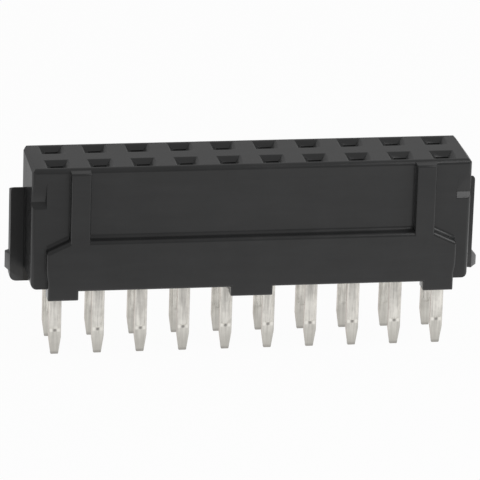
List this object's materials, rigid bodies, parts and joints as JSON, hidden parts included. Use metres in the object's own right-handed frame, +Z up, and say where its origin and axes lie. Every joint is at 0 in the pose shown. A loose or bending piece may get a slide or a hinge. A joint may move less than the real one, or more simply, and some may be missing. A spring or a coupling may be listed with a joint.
{
  "type": "rectangular connector",
  "caption": "Rectangular board connector: black moulded block with a raised front plate, square contact openings on top, lugged ears at the ends and tinned solder tails below.",
  "frame": {"origin": "centre of the tail grid on the board plane, level with the feet of the standoffs", "axes": "+X along the rows to the right seen from the front plate, +Y to the rear, +Z up to the mating face"},
  "size_m": [0.0284, 0.0053, 0.0117],
  "materials": {
    "moulding": "fine matt moulded thermoplastic",
    "contact": "matt tin plate over copper alloy strip"
  },
  "bodies": {
    "root": {"housing": "moulding", "contact_front_01": "contact", "contact_front_02": "contact", "contact_front_03": "contact", "contact_front_04": "contact", "contact_front_05": "contact", "contact_front_06": "contact", "contact_front_07": "contact", "contact_front_08": "contact", "contact_front_09": "contact", "contact_front_10": "contact", "contact_back_01": "contact", "contact_back_02": "contact", "contact_back_03": "contact", "contact_back_04": "contact", "contact_back_05": "contact", "contact_back_06": "contact", "contact_back_07": "contact", "contact_back_08": "contact", "contact_back_09": "contact", "contact_back_10": "contact"}
  },
  "joints": []
}
